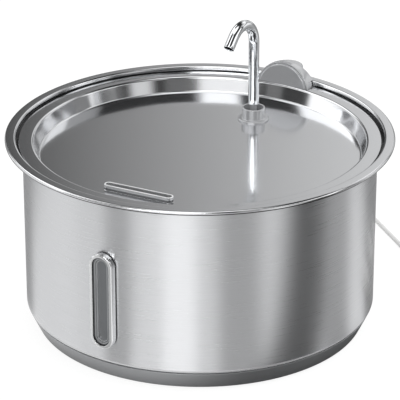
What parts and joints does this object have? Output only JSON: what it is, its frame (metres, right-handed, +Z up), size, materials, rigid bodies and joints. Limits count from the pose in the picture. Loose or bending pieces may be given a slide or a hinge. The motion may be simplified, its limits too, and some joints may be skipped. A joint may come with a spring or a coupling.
{
  "type": "pet water fountain",
  "caption": "Round steel pet water fountain: bowl with a rolled flange, drop-in dished tray with a bent faucet, level window, grey base, pump canister and white cord.",
  "frame": {"origin": "bowl's axis at the table, on the underside of the non-slip mat", "axes": "+Z up; -Y is the front, where the level window is; +Y is the back, where the cord leaves; +X is the right seen from the front"},
  "size_m": [0.2348, 0.2903, 0.1735],
  "materials": {
    "bowl_steel": "brushed round the wall, polished inside",
    "tray_steel": "satin",
    "faucet_chrome": "polished",
    "grey_plastic": "satin moulded",
    "base_plastic": "satin moulded",
    "mat_rubber": "matt",
    "window_clear": "clear moulded plastic",
    "seal_rubber": "matt",
    "sleeve_silicone": "soft silicone",
    "suction_silicone": "translucent silicone",
    "canister_plastic": "gloss moulded",
    "dark_plastic": "matt moulded",
    "filter_media": "non-woven wadding",
    "sponge": "open-cell foam",
    "dial_plastic": "gloss moulded",
    "rotor_magnet": "moulded ferrite and plastic",
    "stator_resin": "copper winding potted in resin",
    "ceramic": "glazed ceramic or white plastic",
    "screw_steel": "stainless",
    "cord_white": "satin flexible jacket",
    "tie_black": "coated wire tie",
    "plug_steel": "plated steel"
  },
  "bodies": {
    "bowl": {"bowl_shell": "bowl_steel", "base_cup": "base_plastic", "base_plate": "base_plastic", "foot_mat": "mat_rubber", "window_lens": "window_clear", "window_gasket": "seal_rubber", "window_clamp": "dark_plastic", "window_screws": "screw_steel", "suction_feet": "suction_silicone", "canister_cup": "canister_plastic", "filter_grid": "canister_plastic", "filter_cartridge": "filter_media", "pump_motor": "dark_plastic", "motor_plate": "dark_plastic", "pump_stator": "stator_resin", "volute_cover": "canister_plastic", "pump_seal": "seal_rubber", "rotor_shaft": "ceramic", "shaft_bushes": "seal_rubber", "intake_sponge": "sponge", "outlet_front": "grey_plastic", "outlet_block": "grey_plastic", "outlet_hood": "grey_plastic", "outlet_screws": "screw_steel", "cord_clamp": "dark_plastic", "clamp_screws": "screw_steel", "pump_cable": "cord_white", "strain_relief": "cord_white", "power_cord": "cord_white", "cord_coil": "cord_white", "cord_tie": "tie_black", "plug_tail": "cord_white", "plug_grip": "cord_white", "plug_shell": "plug_steel", "plug_tongue": "ceramic"},
    "tray": {"tray": "tray_steel", "collar": "grey_plastic", "collar_nut": "grey_plastic", "riser_pipe": "grey_plastic"},
    "sleeve": {"faucet_sleeve": "sleeve_silicone"},
    "faucet": {"faucet_tube": "faucet_chrome"},
    "rotor": {"rotor": "rotor_magnet"},
    "flow_dial": {"flow_dial": "dial_plastic"},
    "canister_cap": {"canister_cap": "canister_plastic"}
  },
  "joints": [
    {"name": "tray_lift", "type": "slide", "parent": "bowl", "child": "tray", "axis": [0, 0, 1], "range_m": [0, 0.08]},
    {"name": "faucet_pull", "type": "slide", "parent": "tray", "child": "sleeve", "axis": [0, 0, 1], "range_m": [0, 0.025]},
    {"name": "faucet_swivel", "type": "hinge", "parent": "sleeve", "child": "faucet", "pos_m": [0.0016, 0.0604, 0.12], "axis": [0, 0, 1], "continuous": true},
    {"name": "rotor_spin", "type": "hinge", "parent": "bowl", "child": "rotor", "pos_m": [0.0016, 0.0704, 0.0298], "axis": [0, 1, 0], "continuous": true},
    {"name": "flow_dial_turn", "type": "hinge", "parent": "bowl", "child": "flow_dial", "pos_m": [0.0016, 0.0504, 0.0298], "axis": [0, 1, 0], "range_deg": [0, 60]},
    {"name": "cap_lift", "type": "slide", "parent": "bowl", "child": "canister_cap", "axis": [0, 0, 1], "range_m": [0, 0.018]}
  ]
}
